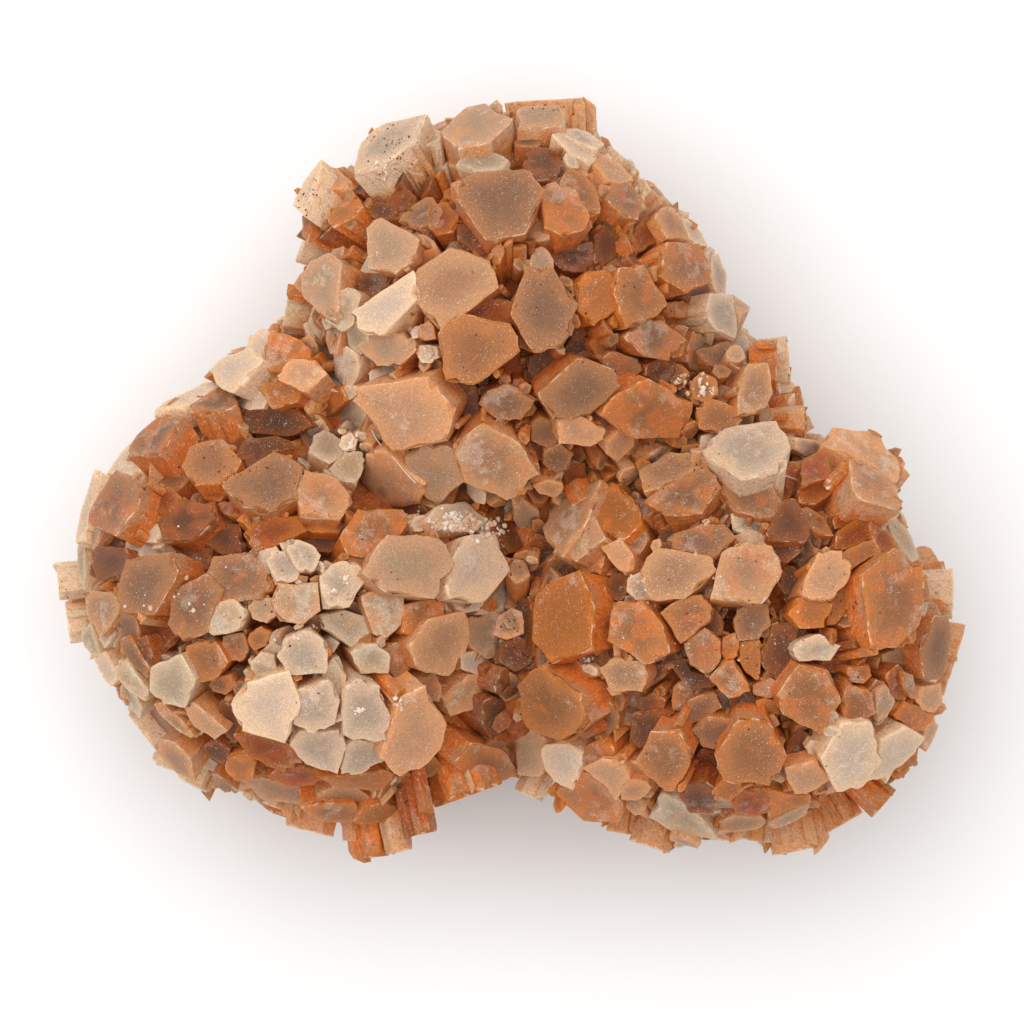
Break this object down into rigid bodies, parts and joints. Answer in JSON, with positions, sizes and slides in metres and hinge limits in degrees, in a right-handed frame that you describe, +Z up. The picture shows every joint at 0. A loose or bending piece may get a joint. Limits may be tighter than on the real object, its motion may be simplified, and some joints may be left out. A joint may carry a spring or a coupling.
{
  "type": "aragonite crystal cluster",
  "caption": "Natural orange aragonite sputnik: fused balls of radiating six-sided prisms grown together in a low trefoil that rests flat.",
  "frame": {"origin": "bottom centre of the cluster's bounding box, on the surface that it rests on", "axes": "+Z up, out of the broad face seen from above; +X along the trefoil's widest span, from its left ball to its right ball; +Y towards its single upper ball"},
  "size_m": [0.057, 0.0476, 0.0305],
  "materials": {
    "aragonite": "frosted translucent crystal: smoky pink-brown end faces with peach rims, rust-orange sides, milky patches"
  },
  "bodies": {
    "root": {"aragonite_cluster": "aragonite"}
  },
  "joints": []
}
